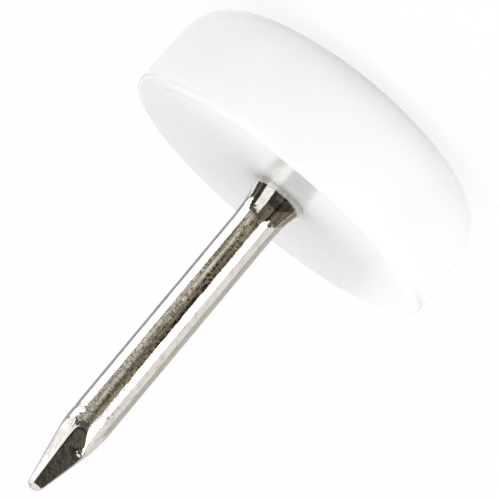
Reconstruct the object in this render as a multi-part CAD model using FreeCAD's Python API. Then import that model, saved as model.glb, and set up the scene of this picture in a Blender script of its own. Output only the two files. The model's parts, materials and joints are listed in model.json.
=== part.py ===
"""Nail-on furniture glide: a moulded plastic disc carried on a plated steel nail.

The disc is moulded round the head of the nail, so the two pieces meet face to face.
The glide stands on its crowned face with the nail pointing up, as it sits under a chair leg.

Origin: middle of the glide face. +Z runs along the nail, towards its point.
Lengths are in millimetres and angles in degrees.
"""

import FreeCAD
import Part
import math
import os

# Disc
DISC_DIAMETER = 20.0        # widest ring, just under the seat edge
DISC_HEIGHT = 7.55          # glide face to seat land
WALL_DRAFT = 1.5            # the wall closes in towards the glide face
SEAT_EDGE_RADIUS = 0.5      # rounding between the wall and the seat land
SEAT_LAND_WIDTH = 0.2       # flat ring that bears on the leg
DISH_DEPTH = 0.4            # hollow of the seat face, at its middle
GLIDE_EDGE_RADIUS = 3.0     # large rounding between the wall and the crown
CROWN_RISE = 0.72           # how far that rounding stands off the floor
GLIDE_FLAT_DIAMETER = 6.0   # flat middle of the crowned glide face

# Nail
SHANK_DIAMETER = 2.5
NAIL_REACH = 21.0           # seat land to the tip
NECK_DIAMETER = 3.2         # thick neck that leaves the disc
NECK_STAND = 0.3            # how far the neck stands above the dish's lowest point
NECK_EDGE_RADIUS = 0.1      # rounding of the neck's outer edge
FLARE_LENGTH = 1.9          # hollow taper from the neck to the shank
HEAD_DIAMETER = 5.6
HEAD_THICKNESS = 1.0
HEAD_COVER = 2.0            # plastic between the dish and the head

# Four-sided point, pinched off centre, with one of its edges bevelled
POINT_LENGTH = 4.2          # tip to where the facets run out on the shank
TIP_WIDTH = 0.72            # side of the blunt end
TIP_OFFSET = 0.2            # how far the blunt end lies off the axis
TIP_OFFSET_TURN = 45        # the way it lies off, counted from +X
TIP_EDGE_RADIUS = 0.3       # rounding of the blunt end's rim
JAW_TURNS = (0, 90, 180, 270)
BEVEL_TURN = 315
BEVEL_REACH = 0.35          # middle of the blunt end to the bevel

DISH_FLOOR = DISC_HEIGHT - DISH_DEPTH
NECK_TOP = DISH_FLOOR + NECK_STAND
TIP_HEIGHT = DISC_HEIGHT + NAIL_REACH
UP = FreeCAD.Vector(0, 0, 1)
ORIGIN = FreeCAD.Vector(0, 0, 0)


def at(radius, height):
    """A point of a half section, in the XZ plane."""
    return FreeCAD.Vector(radius, 0, height)


def on_circle(centre, radius, angle):
    """The point of a circle in the XZ plane, with the angle counted from +X towards +Z."""
    turn = math.radians(angle)
    return centre + at(radius * math.cos(turn), radius * math.sin(turn))


def arc(centre, radius, start, end):
    """An arc in the XZ plane between two angles."""
    angles = (start, (start + end) / 2, end)
    return Part.Arc(*[on_circle(centre, radius, angle) for angle in angles]).toShape()


def line(start, end):
    """A straight edge."""
    return Part.LineSegment(start, end).toShape()


def turned(edges):
    """The solid that a closed half section sweeps about the nail's axis."""
    section = Part.Face(Part.Wire(edges))
    return section.revolve(ORIGIN, UP, 360)


def rims(solid, radius, height):
    """The edges that ring the nail's axis at one radius and height."""
    found = []
    for edge in solid.Edges:
        box = edge.BoundBox
        flat = box.ZLength < 1e-6 and math.isclose(box.ZMin, height, abs_tol=1e-6)
        if flat and math.isclose(box.XMax, radius, abs_tol=1e-6):
            found.append(edge)
    return found


def disc_blank():
    """The disc before the nail's seat is taken out: flat, crown, edge, wall, seat land and dish."""
    seat_centre = at(DISC_DIAMETER / 2 - SEAT_EDGE_RADIUS, DISC_HEIGHT - SEAT_EDGE_RADIUS)
    land_outer = at(seat_centre.x, DISC_HEIGHT)
    land_inner = at(seat_centre.x - SEAT_LAND_WIDTH, DISC_HEIGHT)

    # The glide edge touches the drafted wall, and its lowest point stands CROWN_RISE off the floor.
    draft = math.radians(WALL_DRAFT)
    edge_height = GLIDE_EDGE_RADIUS + CROWN_RISE
    lean = (edge_height - seat_centre.z) * math.sin(draft)
    edge_reach = seat_centre.x + (SEAT_EDGE_RADIUS - GLIDE_EDGE_RADIUS + lean) / math.cos(draft)
    edge_centre = at(edge_reach, edge_height)

    # The crown leaves the flat level and runs into the glide edge without a corner.
    flat_edge = at(GLIDE_FLAT_DIAMETER / 2, 0)
    span = edge_centre.x - flat_edge.x
    crown_radius = (span**2 + edge_height**2 - GLIDE_EDGE_RADIUS**2) / (2 * CROWN_RISE)
    crown_centre = flat_edge + at(0, crown_radius)
    meeting = math.degrees(math.atan2(edge_centre.z - crown_centre.z, span))

    # The dish is a shallow ball cup that ends at the seat land.
    dish_low = at(0, DISH_FLOOR)
    dish_radius = (land_inner.x**2 + DISH_DEPTH**2) / (2 * DISH_DEPTH)
    dish_centre = dish_low + at(0, dish_radius)
    dish_lip = math.degrees(math.atan2(DISC_HEIGHT - dish_centre.z, land_inner.x))

    return turned([
        line(ORIGIN, flat_edge),
        arc(crown_centre, crown_radius, -90, meeting),
        arc(edge_centre, GLIDE_EDGE_RADIUS, meeting, -WALL_DRAFT),
        line(on_circle(edge_centre, GLIDE_EDGE_RADIUS, -WALL_DRAFT),
             on_circle(seat_centre, SEAT_EDGE_RADIUS, -WALL_DRAFT)),
        arc(seat_centre, SEAT_EDGE_RADIUS, -WALL_DRAFT, 90),
        line(land_outer, land_inner),
        arc(dish_centre, dish_radius, dish_lip, -90),
        line(dish_low, ORIGIN),
    ])


def nail_blank():
    """The nail before its point is pinched: head, neck, flare and a square-ended shank."""
    shank = SHANK_DIAMETER / 2
    neck = NECK_DIAMETER / 2
    head = HEAD_DIAMETER / 2
    head_seat = DISH_FLOOR - HEAD_COVER
    head_back = head_seat - HEAD_THICKNESS

    # The flare is hollow: it leaves the shank straight and opens out to the neck.
    flare_step = neck - shank
    flare_radius = (FLARE_LENGTH**2 + flare_step**2) / (2 * flare_step)
    flare_top = NECK_TOP + FLARE_LENGTH
    flare_centre = at(shank + flare_radius, flare_top)
    flare_sweep = math.degrees(math.asin(FLARE_LENGTH / flare_radius))

    blank = turned([
        line(at(0, head_back), at(head, head_back)),
        line(at(head, head_back), at(head, head_seat)),
        line(at(head, head_seat), at(neck, head_seat)),
        line(at(neck, head_seat), at(neck, NECK_TOP)),
        arc(flare_centre, flare_radius, 180 + flare_sweep, 180),
        line(at(shank, flare_top), at(shank, TIP_HEIGHT)),
        line(at(shank, TIP_HEIGHT), at(0, TIP_HEIGHT)),
        line(at(0, TIP_HEIGHT), at(0, head_back)),
    ])
    return blank.makeFillet(NECK_EDGE_RADIUS, rims(blank, neck, NECK_TOP))


def facet_waste(turn, reach):
    """The metal taken off one side of the point, down to a plane.

    The plane faces the given turn. It passes the middle of the blunt end at the given
    reach, and leaves the shank at the foot of the point.
    """
    shank = SHANK_DIAMETER / 2
    tip_edge = reach + TIP_OFFSET * math.cos(math.radians(turn - TIP_OFFSET_TURN))
    foot = at(shank, TIP_HEIGHT - POINT_LENGTH)
    end = at(tip_edge, TIP_HEIGHT)
    overshoot = (end - foot) / 2
    low = foot - overshoot
    high = end + overshoot
    clear = low.x + SHANK_DIAMETER

    outline = Part.makePolygon([low, high, at(clear, high.z), at(clear, low.z), low])
    waste = Part.Face(outline).extrude(FreeCAD.Vector(0, 2 * SHANK_DIAMETER, 0))
    waste.translate(FreeCAD.Vector(0, -SHANK_DIAMETER, 0))
    waste.rotate(ORIGIN, UP, turn)
    return waste


def make_nail():
    """The nail with its pinched point and blunt, softened tip."""
    nail = nail_blank()
    for turn in JAW_TURNS:
        nail = nail.cut(facet_waste(turn, TIP_WIDTH / 2))
    nail = nail.cut(facet_waste(BEVEL_TURN, BEVEL_REACH))
    tip_rim = [edge for edge in nail.Edges if math.isclose(edge.BoundBox.ZMin, TIP_HEIGHT, abs_tol=1e-6)]
    return nail.makeFillet(TIP_EDGE_RADIUS, tip_rim)


def make_disc(nail):
    """The disc, moulded round the head and neck of the nail."""
    return disc_blank().cut(nail)


def main():
    """Builds the two pieces and writes a STEP file of each."""
    nail = make_nail()
    pieces = {"glide_disc": make_disc(nail), "nail": nail}
    os.makedirs("parts", exist_ok=True)
    for name, shape in pieces.items():
        solid = shape.Solids[0]
        solid.exportStep(f"parts/{name}.step")
        print(name, "solids", len(shape.Solids), "valid", solid.isValid())


main()
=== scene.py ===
import json
import logging
import math
from dataclasses import dataclass
from enum import Enum
from typing import ClassVar, Iterable, Optional, Sequence, Union

import bpy
from mathutils import Matrix, Vector, noise


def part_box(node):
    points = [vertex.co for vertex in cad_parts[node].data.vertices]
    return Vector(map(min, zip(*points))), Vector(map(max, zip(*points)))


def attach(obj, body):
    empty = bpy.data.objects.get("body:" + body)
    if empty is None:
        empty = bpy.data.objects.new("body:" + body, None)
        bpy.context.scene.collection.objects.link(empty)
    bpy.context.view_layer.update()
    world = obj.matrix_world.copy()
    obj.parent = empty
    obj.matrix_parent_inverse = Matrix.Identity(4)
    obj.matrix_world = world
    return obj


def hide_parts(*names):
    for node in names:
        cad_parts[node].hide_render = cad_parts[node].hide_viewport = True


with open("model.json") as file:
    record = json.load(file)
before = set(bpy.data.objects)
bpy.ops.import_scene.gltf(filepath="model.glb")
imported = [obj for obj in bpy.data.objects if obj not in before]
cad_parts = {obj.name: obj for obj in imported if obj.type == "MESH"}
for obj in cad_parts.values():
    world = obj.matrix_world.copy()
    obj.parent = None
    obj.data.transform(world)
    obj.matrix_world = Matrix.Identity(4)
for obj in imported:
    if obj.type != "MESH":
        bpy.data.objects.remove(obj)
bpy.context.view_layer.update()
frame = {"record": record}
LOG = logging.getLogger("glide")

MM = 0.001
UP = Vector((0, 0, 1))
IMAGE_SIDE = 500

Colour = tuple[float, float, float]
Span = tuple[float, float]
Feed = Union["Value", bpy.types.NodeSocket, float, Sequence[float]]


class Body(Enum):
    """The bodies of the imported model."""

    ROOT = "root"


class Slot(Enum):
    """The record's material slots."""

    PLASTIC = "white_plastic"
    NICKEL = "nickel_plate"


class Node(Enum):
    """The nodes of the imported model."""

    DISC = "glide_disc"
    NAIL = "nail"


class Ray(Enum):
    """The rays that a studio surface shows its own white to."""

    CAMERA = "Is Camera Ray"
    GLOSSY = "Is Glossy Ray"
    TRANSMISSION = "Is Transmission Ray"


@dataclass(frozen=True)
class Grain:
    """The look of a cloudy pattern: clouds to the millimetre, finer layers, stretch, and any ramp."""

    fineness: float
    detail: float
    stretch: Colour = (1.0, 1.0, 1.0)
    ramp: Optional[Span] = None


def bearing(degrees: float, radius: float, height: float) -> Vector:
    """A point round the nail's axis.

    Args:
        degrees: Turn from the camera's side of the object (-Y) towards +X.
        radius: Distance from the axis.
        height: Height over the floor.

    Returns:
        The point in the frame.
    """
    turn = math.radians(degrees)
    return Vector((radius * math.sin(turn), -radius * math.cos(turn), height))


def smooth_step(low: float, high: float, number: float) -> float:
    """An eased ramp.

    Args:
        low: Where the ramp is 0.
        high: Where the ramp is 1.
        number: Where to read it.

    Returns:
        A number from 0 to 1.
    """
    share = min(1.0, max(0.0, (number - low) / (high - low)))
    return share * share * (3 - 2 * share)


def spread(start: float, end: float, count: int) -> list[float]:
    """Evenly spaced numbers, both ends included.

    Args:
        start: The first number.
        end: The last number.
        count: How many steps lie between them.

    Returns:
        The numbers in order.
    """
    return [start + (end - start) * step / count for step in range(count + 1)]


class Value:
    """A number that varies over a surface. Sums on it add Math nodes."""

    def __init__(self, tree: "Shading", socket: bpy.types.NodeSocket) -> None:
        """Keeps the tree and the socket that gives the number."""
        self.tree = tree
        self.socket = socket

    def _math(self, operation: str, left: Feed, right: Feed) -> "Value":
        """Adds one Math node.

        Args:
            operation: The Math node's operation.
            left: Its first number.
            right: Its second number.

        Returns:
            The result.
        """
        made = self.tree.node("ShaderNodeMath", {"operation": operation}, {0: left, 1: right})
        return Value(self.tree, made.outputs[0])

    def __add__(self, other: Feed) -> "Value":
        """This number plus another."""
        return self._math("ADD", self, other)

    def __radd__(self, other: Feed) -> "Value":
        """Another number plus this one."""
        return self._math("ADD", other, self)

    def __sub__(self, other: Feed) -> "Value":
        """This number less another."""
        return self._math("SUBTRACT", self, other)

    def __rsub__(self, other: Feed) -> "Value":
        """Another number less this one."""
        return self._math("SUBTRACT", other, self)

    def __mul__(self, other: Feed) -> "Value":
        """This number times another."""
        return self._math("MULTIPLY", self, other)

    def __rmul__(self, other: Feed) -> "Value":
        """Another number times this one."""
        return self._math("MULTIPLY", other, self)

    def most(self, other: Feed) -> "Value":
        """The larger of this number and another."""
        return self._math("MAXIMUM", self, other)

    def ramp(self, low: float, high: float) -> "Value":
        """An eased ramp over this number.

        Args:
            low: Where the ramp is 0.
            high: Where the ramp is 1.

        Returns:
            A number from 0 to 1.
        """
        made = self.tree.node("ShaderNodeMapRange", {"interpolation_type": "SMOOTHSTEP"},
                              {"Value": self, "From Min": low, "From Max": high})
        return Value(self.tree, made.outputs["Result"])


class Shading:
    """A node tree that is being filled."""

    def __init__(self, tree: bpy.types.NodeTree) -> None:
        """Takes a tree over and empties it."""
        self.tree = tree
        tree.nodes.clear()

    def node(self, kind: str, settings: Optional[dict[str, object]] = None,
             inputs: Optional[dict[Union[str, int], Feed]] = None) -> bpy.types.Node:
        """Adds a node.

        Args:
            kind: The node's type.
            settings: Its own settings, which are set first.
            inputs: Values or links of its sockets, by name or number.

        Returns:
            The node.
        """
        made = self.tree.nodes.new(kind)
        for name, setting in (settings or {}).items():
            setattr(made, name, setting)
        for key, feed in (inputs or {}).items():
            socket = made.inputs[key]
            if isinstance(feed, Value):
                self.tree.links.new(feed.socket, socket)
            elif isinstance(feed, bpy.types.NodeSocket):
                self.tree.links.new(feed, socket)
            elif isinstance(feed, (int, float)):
                socket.default_value = feed
            else:
                socket.default_value = tuple(feed) + (1.0,) * (len(socket.default_value) - len(feed))
        return made

    def place(self, stretch: Colour = (1.0, 1.0, 1.0)) -> bpy.types.NodeSocket:
        """The place on a piece in millimetres.

        Args:
            stretch: How much finer a pattern is along each axis.

        Returns:
            The vector's socket.
        """
        coordinates = self.node("ShaderNodeTexCoord")
        scaled = self.node("ShaderNodeVectorMath", {"operation": "MULTIPLY"},
                           {0: coordinates.outputs["Object"], 1: [part / MM for part in stretch]})
        return scaled.outputs["Vector"]

    def grain(self, look: Grain, place: Optional[bpy.types.NodeSocket] = None) -> Value:
        """Cloudy noise.

        Args:
            look: The pattern's look.
            place: Where the noise is read, if that isn't the place on the piece.

        Returns:
            A number about one half, or from 0 to 1 where the look has a ramp.
        """
        spot = self.place(look.stretch) if place is None else place
        made = self.node("ShaderNodeTexNoise", None,
                         {"Vector": spot, "Scale": look.fineness, "Detail": look.detail})
        clouds = Value(self, made.outputs["Fac"])
        return clouds.ramp(*look.ramp) if look.ramp else clouds

    def dots(self, fineness: float, edge: Span) -> Value:
        """Round dots about many scattered points.

        Args:
            fineness: How many points fit in a millimetre.
            edge: Where a dot starts to fade and where it ends, in cells from its point.

        Returns:
            1 in a dot, and 0 between the dots.
        """
        made = self.node("ShaderNodeTexVoronoi", None, {"Vector": self.place(), "Scale": fineness})
        return 1.0 - Value(self, made.outputs["Distance"]).ramp(*edge)

    def blend(self, share: Feed, first: Feed, second: Feed) -> bpy.types.NodeSocket:
        """Mixes two colours.

        Args:
            share: How much of the second colour shows.
            first: The colour at 0.
            second: The colour at 1.

        Returns:
            The mixed colour's socket.
        """
        made = self.node("ShaderNodeMix", {"data_type": "RGBA"}, {"Factor": share, 6: first, 7: second})
        return made.outputs[2]

    def relief(self, height: Value, depth: float) -> bpy.types.NodeSocket:
        """A bump.

        Args:
            height: The relief's shape, from 0 to 1.
            depth: Its depth in metres.

        Returns:
            The normal's socket.
        """
        made = self.node("ShaderNodeBump", None, {"Strength": 1.0, "Distance": depth, "Height": height})
        return made.outputs["Normal"]

    def shown_white(self) -> Value:
        """Tells the rays that a studio surface shows its own white to.

        Returns:
            1 for such a ray, and 0 for any other.
        """
        path = self.node("ShaderNodeLightPath")
        camera, glossy, through = [Value(self, path.outputs[ray.value]) for ray in Ray]
        return camera.most(glossy).most(through)

    def end(self, surface: bpy.types.NodeSocket, kind: str = "ShaderNodeOutputMaterial") -> None:
        """Links the surface to the tree's output."""
        self.node(kind, None, {"Surface": surface})


def new_material(name: str) -> tuple[bpy.types.Material, Shading]:
    """Makes an empty node material.

    Args:
        name: The material's name.

    Returns:
        The material and its shading.
    """
    material = bpy.data.materials.new(name)
    material.use_nodes = True
    return material, Shading(material.node_tree)


@dataclass(frozen=True)
class MilkyPlastic:
    """Glossy natural-white plastic that lets a little light in."""

    colour: Colour = (0.925, 0.925, 0.915)
    cloud_colour: Colour = (0.895, 0.9, 0.9)
    speck_colour: Colour = (0.74, 0.72, 0.69)
    clouds: Grain = Grain(0.22, 3.0, ramp=(0.35, 0.75))
    skin: Grain = Grain(1.6, 3.0)
    scuffs: Grain = Grain(0.7, 4.0, (1.0, 1.0, 9.0), (0.52, 0.78))
    speck_fineness: float = 0.42
    speck_edge: Span = (0.03, 0.05)
    speck_share: float = 0.2
    roughness: float = 0.2
    scuff_roughness: float = 0.05
    skin_roughness: float = 0.06
    relief: float = 0.006 * MM
    skin_height: float = 0.5
    scuff_height: float = 0.03
    speck_height: float = 0.2
    index: float = 1.42
    scatter: float = 0.8
    scatter_depth: float = 3.0 * MM
    scatter_reach: Colour = (1.0, 0.95, 0.9)

    def material(self) -> bpy.types.Material:
        """The plastic's material.

        Returns:
            A material with cloudy colour, specks, scuffs and a faint moulded skin.
        """
        material, shading = new_material("milky_plastic")
        skin = shading.grain(self.skin)
        scuffs = shading.grain(self.scuffs)
        specks = shading.dots(self.speck_fineness, self.speck_edge)
        tone = shading.blend(shading.grain(self.clouds), self.colour, self.cloud_colour)
        colour = shading.blend(specks * self.speck_share, tone, self.speck_colour)
        roughness = self.roughness + scuffs * self.scuff_roughness + (skin - 0.5) * self.skin_roughness
        height = skin * self.skin_height + scuffs * self.scuff_height - specks * self.speck_height
        surface = shading.node("ShaderNodeBsdfPrincipled", {"subsurface_method": "RANDOM_WALK"}, {
            "Base Color": colour,
            "Roughness": roughness,
            "Normal": shading.relief(height, self.relief),
            "IOR": self.index,
            "Subsurface Weight": self.scatter,
            "Subsurface Radius": self.scatter_reach,
            "Subsurface Scale": self.scatter_depth,
        })
        shading.end(surface.outputs["BSDF"])
        return material


@dataclass(frozen=True)
class NickelPlate:
    """Bright nickel over drawn steel wire, mottled by thin and stained places."""

    colour: Colour = (0.8, 0.78, 0.74)
    stain_colour: Colour = (0.68, 0.65, 0.6)
    pit_colour: Colour = (0.3, 0.26, 0.21)
    mottle: Grain = Grain(3.6, 4.0, (1.0, 1.0, 0.6))
    stained: Span = (0.46, 0.66)  # levels of the mottle over which stains come up
    open_to_pits: Span = (0.45, 0.6)  # levels of the mottle over which pits come up
    lines: Grain = Grain(9.0, 3.0, (1.0, 1.0, 0.16))
    ripple: Grain = Grain(2.8, 2.5)
    pit_fineness: float = 3.1
    pit_edge: Span = (0.1, 0.2)
    pit_share: float = 0.25
    roughness: float = 0.03
    stain_roughness: float = 0.03
    line_roughness: float = 0.03
    pit_roughness: float = 0.08
    relief: float = 0.015 * MM
    ripple_height: float = 0.6
    line_height: float = 0.14
    pit_height: float = 0.1

    def material(self) -> bpy.types.Material:
        """The plating's material.

        Returns:
            A metal with stains, pits and drawing lines along the wire.
        """
        material, shading = new_material("nickel_plate")
        mottle = shading.grain(self.mottle)
        lines = shading.grain(self.lines)
        ripple = shading.grain(self.ripple)
        stains = mottle.ramp(*self.stained)
        pits = shading.dots(self.pit_fineness, self.pit_edge) * mottle.ramp(*self.open_to_pits)
        tone = shading.blend(stains, self.colour, self.stain_colour)
        colour = shading.blend(pits * self.pit_share, tone, self.pit_colour)
        dull = stains * self.stain_roughness + lines * self.line_roughness + pits * self.pit_roughness
        height = ripple * self.ripple_height + lines * self.line_height - pits * self.pit_height
        surface = shading.node("ShaderNodeBsdfPrincipled", None, {
            "Base Color": colour,
            "Roughness": self.roughness + dull,
            "Normal": shading.relief(height, self.relief),
            "Metallic": 1.0,
        })
        shading.end(surface.outputs["BSDF"])
        return material


@dataclass(frozen=True)
class FloorPaint:
    """Plain white floor that keeps a soft shadow."""

    colour: Colour = (0.95, 0.95, 0.95)
    own_white: float = 0.88

    def material(self) -> bpy.types.Material:
        """The floor's material.

        Returns:
            A matt white that shows part of its white without lamps.
        """
        material, shading = new_material("floor_white")
        matt = shading.node("ShaderNodeBsdfDiffuse", None, {"Color": self.colour})
        white = shading.node("ShaderNodeEmission", None, {"Color": (1.0, 1.0, 1.0), "Strength": 1.0})
        shown = shading.node("ShaderNodeMixShader", None, {
            0: shading.shown_white() * self.own_white,
            1: matt.outputs["BSDF"],
            2: white.outputs["Emission"],
        })
        shading.end(shown.outputs["Shader"])
        return material


@dataclass(frozen=True)
class CardPaint:
    """The tone of a card that only shows in gloss."""

    name: str
    colour: Colour
    mottle: Colour
    strength: float = 1.0
    streaks: float = 0.12  # streaks to a millimetre, away from the object
    streaks_round: float = 16.0  # streaks to a full turn
    unevenness: Grain = Grain(1.0, 3.0, ramp=(0.4, 0.62))

    def material(self) -> bpy.types.Material:
        """The card's material.

        Returns:
            A soft glow with uneven streaks that lie round the object.
        """
        material, shading = new_material(self.name)
        place = shading.place()
        away = shading.node("ShaderNodeVectorMath", {"operation": "LENGTH"}, {0: place})
        turn = shading.node("ShaderNodeTexGradient", {"gradient_type": "RADIAL"}, {"Vector": place})
        spot = shading.node("ShaderNodeCombineXYZ", None, {
            "X": Value(shading, away.outputs["Value"]) * self.streaks,
            "Y": Value(shading, turn.outputs["Fac"]) * self.streaks_round,
        })
        uneven = shading.grain(self.unevenness, spot.outputs["Vector"])
        colour = shading.blend(uneven, self.colour, self.mottle)
        glow = shading.node("ShaderNodeEmission", None, {"Color": colour, "Strength": self.strength})
        shading.end(glow.outputs["Emission"])
        material.cycles.emission_sampling = "NONE"
        return material


class CardTone(Enum):
    """The paints of the cards."""

    WHITE = CardPaint("card_white", (1.0, 1.0, 1.0), (1.0, 1.0, 1.0), 2.1)
    SOFT = CardPaint("card_soft", (1.1, 1.1, 1.1), (1.1, 1.1, 1.1))
    MIST = CardPaint("card_mist", (0.7, 0.7, 0.7), (0.74, 0.74, 0.74))
    PEARL = CardPaint("card_pearl", (0.92, 0.91, 0.9), (1.6, 1.6, 1.58), 1.0, 0.3)
    SLATE = CardPaint("card_slate", (0.34, 0.35, 0.36), (0.48, 0.49, 0.5))
    DARK = CardPaint("card_dark", (0.035, 0.03, 0.023), (0.22, 0.19, 0.145), 1.0, 0.05)
    BLACK = CardPaint("card_black", (0.008, 0.007, 0.006), (0.06, 0.052, 0.04), 1.0, 0.05)
    DUSK = CardPaint("card_dusk", (0.025, 0.022, 0.018), (0.13, 0.115, 0.092), 1.0, 0.05)
    CLOTH = CardPaint("card_cloth", (0.008, 0.006, 0.004), (0.42, 0.36, 0.26), 1.0, 0.07)
    TWEED = CardPaint("card_tweed", (0.06, 0.05, 0.04), (0.62, 0.56, 0.46), 1.0, 0.07)
    FELT = CardPaint("card_felt", (0.18, 0.16, 0.13), (0.85, 0.8, 0.7), 1.0, 0.07)
    BROWN = CardPaint("card_brown", (0.24, 0.22, 0.19), (0.46, 0.42, 0.37), 1.0, 0.05)
    BEIGE = CardPaint("card_beige", (0.54, 0.51, 0.48), (0.64, 0.61, 0.57))
    PALE = CardPaint("card_pale", (0.84, 0.82, 0.8), (1.0, 0.98, 0.96))
    GREY = CardPaint("card_grey", (0.42, 0.42, 0.42), (0.47, 0.47, 0.47))
    LEAD = CardPaint("card_lead", (0.28, 0.28, 0.28), (0.32, 0.32, 0.32))


@dataclass
class RingSkin:
    """A closed skin through rings of points, with a pole at each end."""

    first_pole: Vector
    rings: list[list[Vector]]
    last_pole: Vector
    crease: float = math.radians(40)

    def mesh(self, name: str) -> bpy.types.Mesh:
        """Makes the mesh.

        Args:
            name: The mesh's name.

        Returns:
            A closed mesh whose faces look outwards.
        """
        count = len(self.rings[0])
        points = [self.first_pole, *[point for ring in self.rings for point in ring], self.last_pole]
        last = len(points) - 1
        faces: list[tuple[int, ...]] = []
        for step in range(count):
            turn = (step + 1) % count
            faces.append((0, 1 + turn, 1 + step))
            for level in range(len(self.rings) - 1):
                low = 1 + level * count
                high = low + count
                faces.append((low + step, low + turn, high + turn, high + step))
            top = 1 + (len(self.rings) - 1) * count
            faces.append((top + step, top + turn, last))
        mesh = bpy.data.meshes.new(name)
        mesh.from_pydata([tuple(point) for point in points], [], faces)
        mesh.validate()
        mesh.polygons.foreach_set("use_smooth", [True] * len(mesh.polygons))
        mesh.set_sharp_from_angle(angle=self.crease)
        return mesh


def show(mesh: bpy.types.Mesh, material: bpy.types.Material) -> bpy.types.Object:
    """Puts a mesh in the scene.

    Args:
        mesh: The mesh.
        material: Its finish.

    Returns:
        The object, named as the mesh.
    """
    mesh.materials.append(material)
    made = bpy.data.objects.new(mesh.name, mesh)
    bpy.context.scene.collection.objects.link(made)
    return made


@dataclass
class GlideDisc:
    """The moulded disc: crowned glide face, rounded edge, drafted wall, dished seat and the nail's seat."""

    radius: float
    height: float
    neck: float
    head: float
    head_low: float
    head_high: float
    wall_draft: float = math.radians(1.5)
    seat_edge: float = 0.5 * MM
    dish_depth: float = 0.4 * MM
    glide_edge: float = 3.0 * MM
    crown_rise: float = 0.72 * MM
    glide_flat: float = 3.0 * MM
    clearance: float = 0.01 * MM
    lip: float = 0.06 * MM
    sink: float = 0.006 * MM  # unevenness of the seat face
    sink_spacing: float = 3.2 * MM
    lips_left_level: float = 4.0  # width of the even ring round the neck, in lips
    segments: int = 256
    arc_steps: int = 40
    rim_steps: int = 24
    wall_steps: int = 14
    flat_steps: int = 10
    lip_steps: int = 5
    bore_steps: int = 6
    cavity_steps: int = 4
    cavity_floor_steps: int = 5

    def arc(self, centre: Vector, radius: float, start: float, end: float, count: int) -> list[Vector]:
        """Points of an arc in the half section.

        Args:
            centre: The arc's centre, as radius and height.
            radius: The arc's radius.
            start: Its first angle, from outwards towards up.
            end: Its last angle.
            count: How many steps it has.

        Returns:
            The points in order.
        """
        return [centre + Vector((radius * math.cos(angle), radius * math.sin(angle)))
                for angle in spread(start, end, count)]

    def outline(self) -> list[Vector]:
        """The half section, from the middle of the glide face round to the floor of the head's seat.

        Returns:
            Points as radius and height.
        """
        seat_centre = Vector((self.radius - self.seat_edge, self.height - self.seat_edge))
        edge_height = self.glide_edge + self.crown_rise
        lean = (edge_height - seat_centre.y) * math.sin(self.wall_draft)
        reach = seat_centre.x + (self.seat_edge - self.glide_edge + lean) / math.cos(self.wall_draft)
        edge_centre = Vector((reach, edge_height))
        span = edge_centre.x - self.glide_flat
        crown = (span**2 + edge_height**2 - self.glide_edge**2) / (2 * self.crown_rise)
        crown_centre = Vector((self.glide_flat, crown))
        meeting = math.atan2(edge_centre.y - crown_centre.y, span)
        wall = self.arc(edge_centre, self.glide_edge, meeting, -self.wall_draft, self.arc_steps)
        rim = self.arc(seat_centre, self.seat_edge, -self.wall_draft, math.pi / 2, self.rim_steps)
        bore = self.neck + self.clearance
        ball = (seat_centre.x**2 + self.dish_depth**2) / (2 * self.dish_depth)
        ball_centre = Vector((0, self.height - self.dish_depth + ball))
        dish_start = math.atan2(self.height - ball_centre.y, seat_centre.x)
        dish_stop = -math.acos((bore + self.lip) / ball)
        dish = self.arc(ball_centre, ball, dish_start, dish_stop, self.arc_steps)
        lip_centre = dish[-1] - Vector((0, self.lip))
        cavity = self.head + self.clearance
        low = self.head_low - self.clearance
        high = self.head_high + self.clearance
        points = [Vector((radius, 0)) for radius in spread(0, self.glide_flat, self.flat_steps)[1:]]
        points += self.arc(crown_centre, crown, -math.pi / 2, meeting, self.rim_steps)[1:]
        points += wall[1:]
        points += [wall[-1].lerp(rim[0], share) for share in spread(0, 1, self.wall_steps)[1:-1]]
        points += rim
        points += dish[1:]
        points += self.arc(lip_centre, self.lip, math.pi / 2, math.pi, self.lip_steps)[1:]
        points += [Vector((bore, height)) for height in spread(lip_centre.y, high, self.bore_steps)[1:]]
        points += [Vector((radius, high)) for radius in spread(bore, cavity, self.cavity_steps)[1:]]
        points += [Vector((radius, low)) for radius in spread(cavity, 0, self.cavity_floor_steps)[:-1]]
        return points

    def sunk(self, point: Vector) -> Vector:
        """A point of the seat face, moved by the faint unevenness of a moulding.

        Args:
            point: A point of the skin.

        Returns:
            The moved point.
        """
        seat = point.z - self.height + self.dish_depth
        if seat < 0 or point.xy.length < self.neck + self.lips_left_level * self.lip:
            return point
        return point + UP * self.sink * noise.noise(point / self.sink_spacing)

    def build(self, finish: MilkyPlastic) -> bpy.types.Object:
        """Builds and dresses the disc.

        Args:
            finish: The plastic.

        Returns:
            The disc's piece.
        """
        rings = []
        for spot in self.outline():
            ring = [bearing(360 * step / self.segments, spot.x, spot.y) for step in range(self.segments)]
            rings.append([self.sunk(point) for point in ring])
        floor = UP * (self.head_low - self.clearance)
        skin = RingSkin(Vector((0, 0, 0)), rings, floor)
        return show(skin.mesh("milky_disc"), finish.material())


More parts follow.
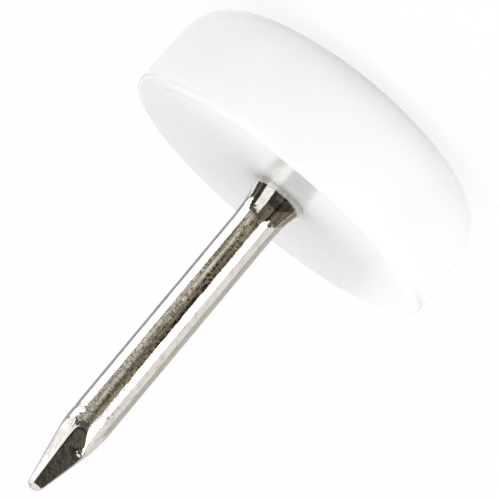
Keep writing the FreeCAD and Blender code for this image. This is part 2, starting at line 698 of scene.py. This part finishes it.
@dataclass
class Nail:
    """The nail: hidden head, neck with a hollow flare, drawn shank and a four-sided pinched point."""

    head: float
    head_low: float
    tip_height: float
    shank: float
    shank_low: float
    neck: float = 1.6 * MM
    neck_edge: float = 0.1 * MM
    flare: float = 2.4 * MM
    flare_run_out: float = 0.5 * MM
    head_thickness: float = 1.0 * MM
    point: float = 4.2 * MM
    tip_half: float = 0.36 * MM
    tip_off: float = 0.2 * MM
    bevel_reach: float = 0.35 * MM
    bevel_bearing: float = 45.0
    tip_bearing: float = 135.0
    jaw_bearings: tuple[float, ...] = (0.0, 90.0, 180.0, 270.0)
    least_facing: float = 0.05  # a side turned further away doesn't bound a section
    dome: float = 0.36 * MM
    edge_power: float = 40.0  # how sharply the sides of the point meet
    crease_height: float = 23.54 * MM
    crease_half: float = 0.1 * MM
    crease_depth: float = 0.035 * MM
    crease_bearing: float = 68.0
    crease_spread: float = 44.0
    crease_fade: float = 0.7  # share of the spread over which the crease keeps its depth
    crease_margin: float = 4.0  # half widths round the crease that have closer sections
    burr_height: float = 25.53 * MM
    burr_bearing: float = -36.0
    burr_size: float = 0.16 * MM
    burr_rise: float = 0.09 * MM
    burr_arm: float = 0.7  # how far the burr lies from the axis, in shank radii
    segments: int = 224
    head_steps: int = 6
    head_side_steps: int = 4
    neck_steps: int = 12
    flare_steps: int = 26
    shank_steps: int = 90
    crease_steps: int = 26
    point_steps: int = 110
    dome_steps: int = 12

    @property
    def flare_top(self) -> float:
        """Where the flare ends. It runs out a little way along the shank."""
        return self.shank_low + self.flare_run_out

    @property
    def head_high(self) -> float:
        """The head's seat, where the neck leaves it."""
        return self.head_low + self.head_thickness

    @property
    def foot(self) -> float:
        """Where the facets of the point run out on the shank."""
        return self.tip_height - self.point

    def round_section(self) -> list[Vector]:
        """The turned part of the nail, from the back of the head up to the shank.

        Returns:
            Points as radius and height.
        """
        step = self.neck - self.shank
        flare_radius = (self.flare**2 + step**2) / (2 * step)
        sweep = math.asin(self.flare / flare_radius)
        neck_top = self.flare_top - self.flare
        points = [Vector((radius, self.head_low)) for radius in spread(0, self.head, self.head_steps)[1:]]
        points += [Vector((self.head, height))
                   for height in spread(self.head_low, self.head_high, self.head_side_steps)[1:]]
        points += [Vector((radius, self.head_high))
                   for radius in spread(self.head, self.neck, self.head_side_steps)[1:]]
        points += [Vector((self.neck, height))
                   for height in spread(self.head_high, neck_top - self.neck_edge / 2, self.neck_steps)[1:]]
        for angle in spread(sweep, 0, self.flare_steps)[1:]:
            points.append(Vector((self.shank + flare_radius * (1 - math.cos(angle)),
                                  self.flare_top - flare_radius * math.sin(angle))))
        return points

    def middle(self, height: float) -> Vector:
        """The middle of a section of the point, which leans off the axis towards the tip."""
        share = max(0.0, (height - self.foot) / self.point)
        return bearing(self.tip_bearing, self.tip_off * share, height)

    def reach(self, middle: Vector, degrees: float) -> float:
        """Distance from the middle of a section to the skin.

        Args:
            middle: The section's middle.
            degrees: The way out.

        Returns:
            The distance.
        """
        share = (middle.z - self.foot) / self.point
        way = bearing(degrees, 1.0, 0.0)
        along = way.dot(middle)
        gap = self.shank**2 - middle.xy.length_squared
        reaches = [-along + math.sqrt(along**2 + gap)]
        jaw = self.shank + (self.tip_half - self.shank) * share
        sides = [(jaw, turn) for turn in self.jaw_bearings]
        sides.append((self.shank + (self.bevel_reach - self.shank) * share, self.bevel_bearing))
        for distance, turn in sides:
            facing = math.cos(math.radians(degrees - turn))
            if facing > self.least_facing:
                reaches.append(distance / facing)
        return sum(one ** -self.edge_power for one in reaches) ** (-1 / self.edge_power)

    def marks(self, degrees: float, height: float) -> float:
        """The crease that the pinching tool leaves, and the burr on one edge of the point.

        Args:
            degrees: The way round the nail.
            height: The height over the floor.

        Returns:
            How far the skin moves outwards.
        """
        across = (degrees - self.crease_bearing + 180) % 360 - 180
        width = 1 - smooth_step(self.crease_fade, 1.0, abs(across) / self.crease_spread)
        groove = math.exp(-((height - self.crease_height) / self.crease_half) ** 2)
        turned = (degrees - self.burr_bearing + 180) % 360 - 180
        round_off = math.radians(turned) * self.shank * self.burr_arm
        far = ((height - self.burr_height) ** 2 + round_off**2) / self.burr_size**2
        return self.burr_rise * math.exp(-far) - self.crease_depth * groove * width

    def heights(self) -> list[float]:
        """The heights of the sections over the flare.

        Returns:
            Heights that lie closer where the nail has more detail.
        """
        crease_start = self.crease_height - self.crease_margin * self.crease_half
        crease_end = self.crease_height + self.crease_margin * self.crease_half
        dome_start = self.tip_height - self.dome
        stations = spread(self.flare_top, crease_start, self.shank_steps)[1:]
        stations += spread(crease_start, crease_end, self.crease_steps)[1:]
        stations += spread(crease_end, dome_start, self.point_steps)[1:]
        stations += [dome_start + self.dome * math.sin(angle)
                     for angle in spread(0, math.pi / 2, self.dome_steps)[1:-1]]
        return stations

    def section(self, height: float) -> list[Vector]:
        """One section over the flare.

        Args:
            height: Its height over the floor.

        Returns:
            The ring of points.
        """
        middle = self.middle(height)
        rise = max(0.0, height - self.tip_height + self.dome) / self.dome
        narrow = math.sqrt(max(0.0, 1 - rise**2))
        ring = []
        for step in range(self.segments):
            degrees = 360 * step / self.segments
            out = (self.reach(middle, degrees) + self.marks(degrees, height)) * narrow
            ring.append(middle + bearing(degrees, out, 0.0))
        return ring

    def build(self, finish: NickelPlate) -> bpy.types.Object:
        """Builds and dresses the nail.

        Args:
            finish: The plating.

        Returns:
            The nail's piece.
        """
        rings = [[bearing(360 * step / self.segments, spot.x, spot.y) for step in range(self.segments)]
                 for spot in self.round_section()]
        rings += [self.section(height) for height in self.heights()]
        skin = RingSkin(UP * self.head_low, rings, self.middle(self.tip_height), math.radians(50))
        return show(skin.mesh("plated_nail"), finish.material())


@dataclass(frozen=True)
class Card:
    """A card round the object that only gloss shows: a strip swept between two bearings."""

    name: str
    start: float
    end: float
    near: Span
    far: Span
    tone: CardTone
    step_degrees: ClassVar[float] = 3.0
    fewest_steps: ClassVar[int] = 4

    def build(self) -> bpy.types.Object:
        """Builds the card.

        Returns:
            The card's object, seen by glossy rays alone.
        """
        count = max(self.fewest_steps, int(abs(self.end - self.start) / self.step_degrees))
        points: list[Vector] = []
        for degrees in spread(self.start, self.end, count):
            points += [bearing(degrees, *self.near), bearing(degrees, *self.far)]
        faces = [(2 * step, 2 * step + 1, 2 * step + 3, 2 * step + 2) for step in range(count)]
        mesh = bpy.data.meshes.new(self.name)
        mesh.from_pydata([tuple(point) for point in points], [], faces)
        made = show(mesh, self.tone.value.material())
        made.visible_camera = False
        made.visible_diffuse = False
        made.visible_transmission = False
        made.visible_volume_scatter = False
        made.visible_shadow = False
        return made


@dataclass
class Studio:
    """The white floor, the cards, the lamp and the white surround."""

    floor_half: float = 0.4
    surround_left: Colour = (0.85, 0.85, 0.85)
    surround_right: Colour = (1.05, 1.05, 1.05)
    lamp_bearing: float = -26.0
    lamp_rise: float = 50.0
    lamp_distance: float = 0.3
    lamp_side: float = 0.16
    lamp_power: float = 0.1
    tongue_radius: float = 158 * MM
    tongue_steps: int = 5

    def floor(self, finish: FloorPaint) -> bpy.types.Object:
        """The floor.

        Args:
            finish: Its paint.

        Returns:
            The floor's object.
        """
        half = self.floor_half
        mesh = bpy.data.meshes.new("studio_floor")
        spots = [(-half, -half, 0), (half, -half, 0), (half, half, 0), (-half, half, 0)]
        mesh.from_pydata(spots, [], [(0, 1, 2, 3)])
        return show(mesh, finish.material())

    def cards(self) -> list[Card]:
        """The cards that the nail and the seat face mirror.

        Returns:
            The cards, not yet built.
        """
        low = 0.2 * MM
        table_near, table_edge, table_far = (40 * MM, low), (126 * MM, low), (155 * MM, low)
        back_near = (47 * MM, low)
        room = 160 * MM
        foot, black_foot, black_top, top = [(room, rise) for rise in (low, 34 * MM, 54 * MM, 175 * MM)]
        screen = 45 * MM
        screen_top = (screen, 28 * MM)
        left_tip, right_tip, tip_low = 30 * MM, 16 * MM, 21.3 * MM
        box = 150 * MM
        return [
            Card("cloth_front", -18, 21, table_near, table_far, CardTone.CLOTH),
            Card("tweed_front", 21, 32, table_near, table_far, CardTone.TWEED),
            Card("felt_front", 32, 69, table_near, table_far, CardTone.FELT),
            Card("white_left", 71, 121, table_near, table_edge, CardTone.WHITE),
            Card("slate_back_left", 122, 180, back_near, table_far, CardTone.SLATE),
            Card("white_right", -56, -19, table_near, table_edge, CardTone.WHITE),
            Card("pale_right", -100, -57, table_near, table_far, CardTone.PALE),
            Card("beige_back_right", -180, -101, table_near, table_far, CardTone.BEIGE),
            Card("brown_room_right", -150, -101, foot, top, CardTone.BROWN),
            Card("dark_room_low", -100, 64, foot, black_foot, CardTone.DARK),
            Card("black_room", -100, 64, black_foot, black_top, CardTone.BLACK),
            Card("dark_room_high", -100, 64, black_top, top, CardTone.DUSK),
            Card("white_tip_left", 70, 114, (left_tip, 21.5 * MM), (left_tip, 62 * MM), CardTone.PEARL),
            Card("white_tip_right", -62, -14, (right_tip, tip_low), (right_tip, 27 * MM), CardTone.WHITE),
            Card("pale_tip_right", -140, -62, (right_tip, tip_low), (right_tip, 30 * MM), CardTone.PALE),
            Card("dark_room_left", 64, 118, foot, top, CardTone.DARK),
            Card("soft_box", 23, 66, (box, 14 * MM), (box, 150 * MM), CardTone.SOFT),
            Card("grey_back_left", 120, 179, (screen, 14.0 * MM), screen_top, CardTone.GREY),
            Card("grey_back_right", 179, 188, (screen, 15.4 * MM), screen_top, CardTone.LEAD),
            Card("mist_back", 110, 250, screen_top, (screen, 120 * MM), CardTone.MIST),
            *self.tongue("white_left_tongue", 97, 44, 11 * MM, table_edge, CardTone.WHITE),
            *self.tongue("white_right_tongue", -42, 22, 9 * MM, table_edge, CardTone.WHITE),
        ]

    def tongue(self, name: str, middle: float, width: float, top: float, near: Span,
               tone: CardTone) -> list[Card]:
        """Strips that narrow along the table and up the room, so that a white band tapers at the flare.

        Args:
            name: The start of the strips' names.
            middle: The bearing that they lie on.
            width: How many degrees wide the first strip is.
            top: Height at which the last strip ends.
            near: Radius and height at which the strips start.
            tone: Their paint.

        Returns:
            The strips, not yet built.
        """
        ends = [near] + [(self.tongue_radius, height) for height in spread(near[1], top, self.tongue_steps)]
        strips = []
        for step, (inner, outer) in enumerate(zip(ends, ends[1:])):
            half = width / 2 * (1 - step / len(ends))
            strips.append(Card(f"{name}_{step}", middle - half, middle + half, inner, outer, tone))
        return strips

    def lamp(self) -> bpy.types.Object:
        """The key lamp, in front and to the right of the nail.

        Returns:
            The lamp's object.
        """
        level = self.lamp_distance * math.cos(math.radians(self.lamp_rise))
        rise = self.lamp_distance * math.sin(math.radians(self.lamp_rise))
        data = bpy.data.lights.new("key_lamp", "AREA")
        data.shape = "SQUARE"
        data.size = self.lamp_side
        data.energy = self.lamp_power
        made = bpy.data.objects.new("key_lamp", data)
        made.location = bearing(self.lamp_bearing, level, rise)
        made.rotation_euler = (-made.location).to_track_quat("-Z", "Y").to_euler()
        made.visible_camera = False
        made.visible_glossy = False
        bpy.context.scene.collection.objects.link(made)
        return made

    def air(self) -> None:
        """The surround: plain white where it shows, and as light a little dimmer on the left."""
        world = bpy.data.worlds.new("white_surround")
        world.use_nodes = True
        shading = Shading(world.node_tree)
        way = shading.node("ShaderNodeTexCoord")
        parts = shading.node("ShaderNodeSeparateXYZ", None, {"Vector": way.outputs["Generated"]})
        leftwards = Value(shading, parts.outputs["X"]).ramp(-1.0, 1.0)
        tone = shading.blend(leftwards, self.surround_right, self.surround_left)
        light = shading.node("ShaderNodeBackground", None, {"Color": tone, "Strength": 1.0})
        white = shading.node("ShaderNodeBackground", None, {"Color": (1.0, 1.0, 1.0), "Strength": 1.0})
        shown = shading.node("ShaderNodeMixShader", None, {
            0: shading.shown_white(),
            1: light.outputs["Background"],
            2: white.outputs["Background"],
        })
        shading.end(shown.outputs["Shader"], "ShaderNodeOutputWorld")
        bpy.context.scene.world = world


@dataclass
class PhotoCamera:
    """The camera, turned so that the nail points down and to the left as in the photograph."""

    seat: Vector
    elevation: float = math.radians(11.1)
    roll: Span = (-0.7684, -0.63997)
    seat_right: float = 25.33
    seat_up: float = 49.97
    pixels: float = 18.16
    distance: float = 400 * MM
    sensor: float = 36.0
    clip: Span = (10 * MM, 3.0)

    def build(self) -> bpy.types.Object:
        """Builds the camera and hands it to the scene.

        Returns:
            The camera's object.
        """
        right = Vector((1, 0, 0))
        up = Vector((0, math.sin(self.elevation), math.cos(self.elevation)))
        back = Vector((0, -math.cos(self.elevation), math.sin(self.elevation)))
        across = right * self.roll[0] + up * self.roll[1]
        upwards = back.cross(across)
        metre = MM / self.pixels
        aim = self.seat - across * (self.seat_right * metre) - upwards * (self.seat_up * metre)
        data = bpy.data.cameras.new("photo_camera")
        data.sensor_width = self.sensor
        data.lens = self.sensor * self.distance / (IMAGE_SIDE * metre)
        data.clip_start, data.clip_end = self.clip
        made = bpy.data.objects.new("photo_camera", data)
        turn = Matrix((across, upwards, back)).transposed()
        made.matrix_world = Matrix.Translation(aim + back * self.distance) @ turn.to_4x4()
        bpy.context.scene.collection.objects.link(made)
        bpy.context.scene.camera = made
        return made


def mount(name: str) -> dict[str, object]:
    """Finds a mount of the record.

    Args:
        name: The mount's name.

    Returns:
        The mount's row.
    """
    return next(row for row in frame["record"]["mounts"] if row["name"] == name)


def seat_piece(piece: bpy.types.Object, node: Node) -> None:
    """Sets a piece on the frame in place of a node.

    Args:
        piece: The piece.
        node: The node that it stands for.
    """
    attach(piece, Body.ROOT.value)
    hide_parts(node.value)
    LOG.info("%s: %d faces in place of %s", piece.name, len(piece.data.polygons), node.value)


def main() -> None:
    """Builds the glide, its studio and its camera."""
    logging.basicConfig(level=logging.INFO, format="%(name)s: %(message)s")
    disc_low, disc_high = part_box(Node.DISC.value)
    nail_low, nail_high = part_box(Node.NAIL.value)
    pin = mount("nail_shank")
    shank_low = pin["pos_m"][2] - pin["dims"]["length_mm"] * MM / 2
    nail = Nail(head=nail_high.x, head_low=nail_low.z, tip_height=nail_high.z,
                shank=pin["dims"]["r_mm"] * MM, shank_low=shank_low)
    disc = GlideDisc(radius=disc_high.x, height=disc_high.z, neck=nail.neck, head=nail.head,
                     head_low=nail.head_low, head_high=nail.head_high)
    seat_piece(disc.build(MilkyPlastic()), Node.DISC)
    seat_piece(nail.build(NickelPlate()), Node.NAIL)

    studio = Studio()
    studio.floor(FloorPaint())
    [card.build() for card in studio.cards()]
    studio.lamp()
    studio.air()
    PhotoCamera(UP * disc.height).build()
    bpy.context.scene.view_settings.view_transform = "Standard"


if __name__ == "__main__":
    main()
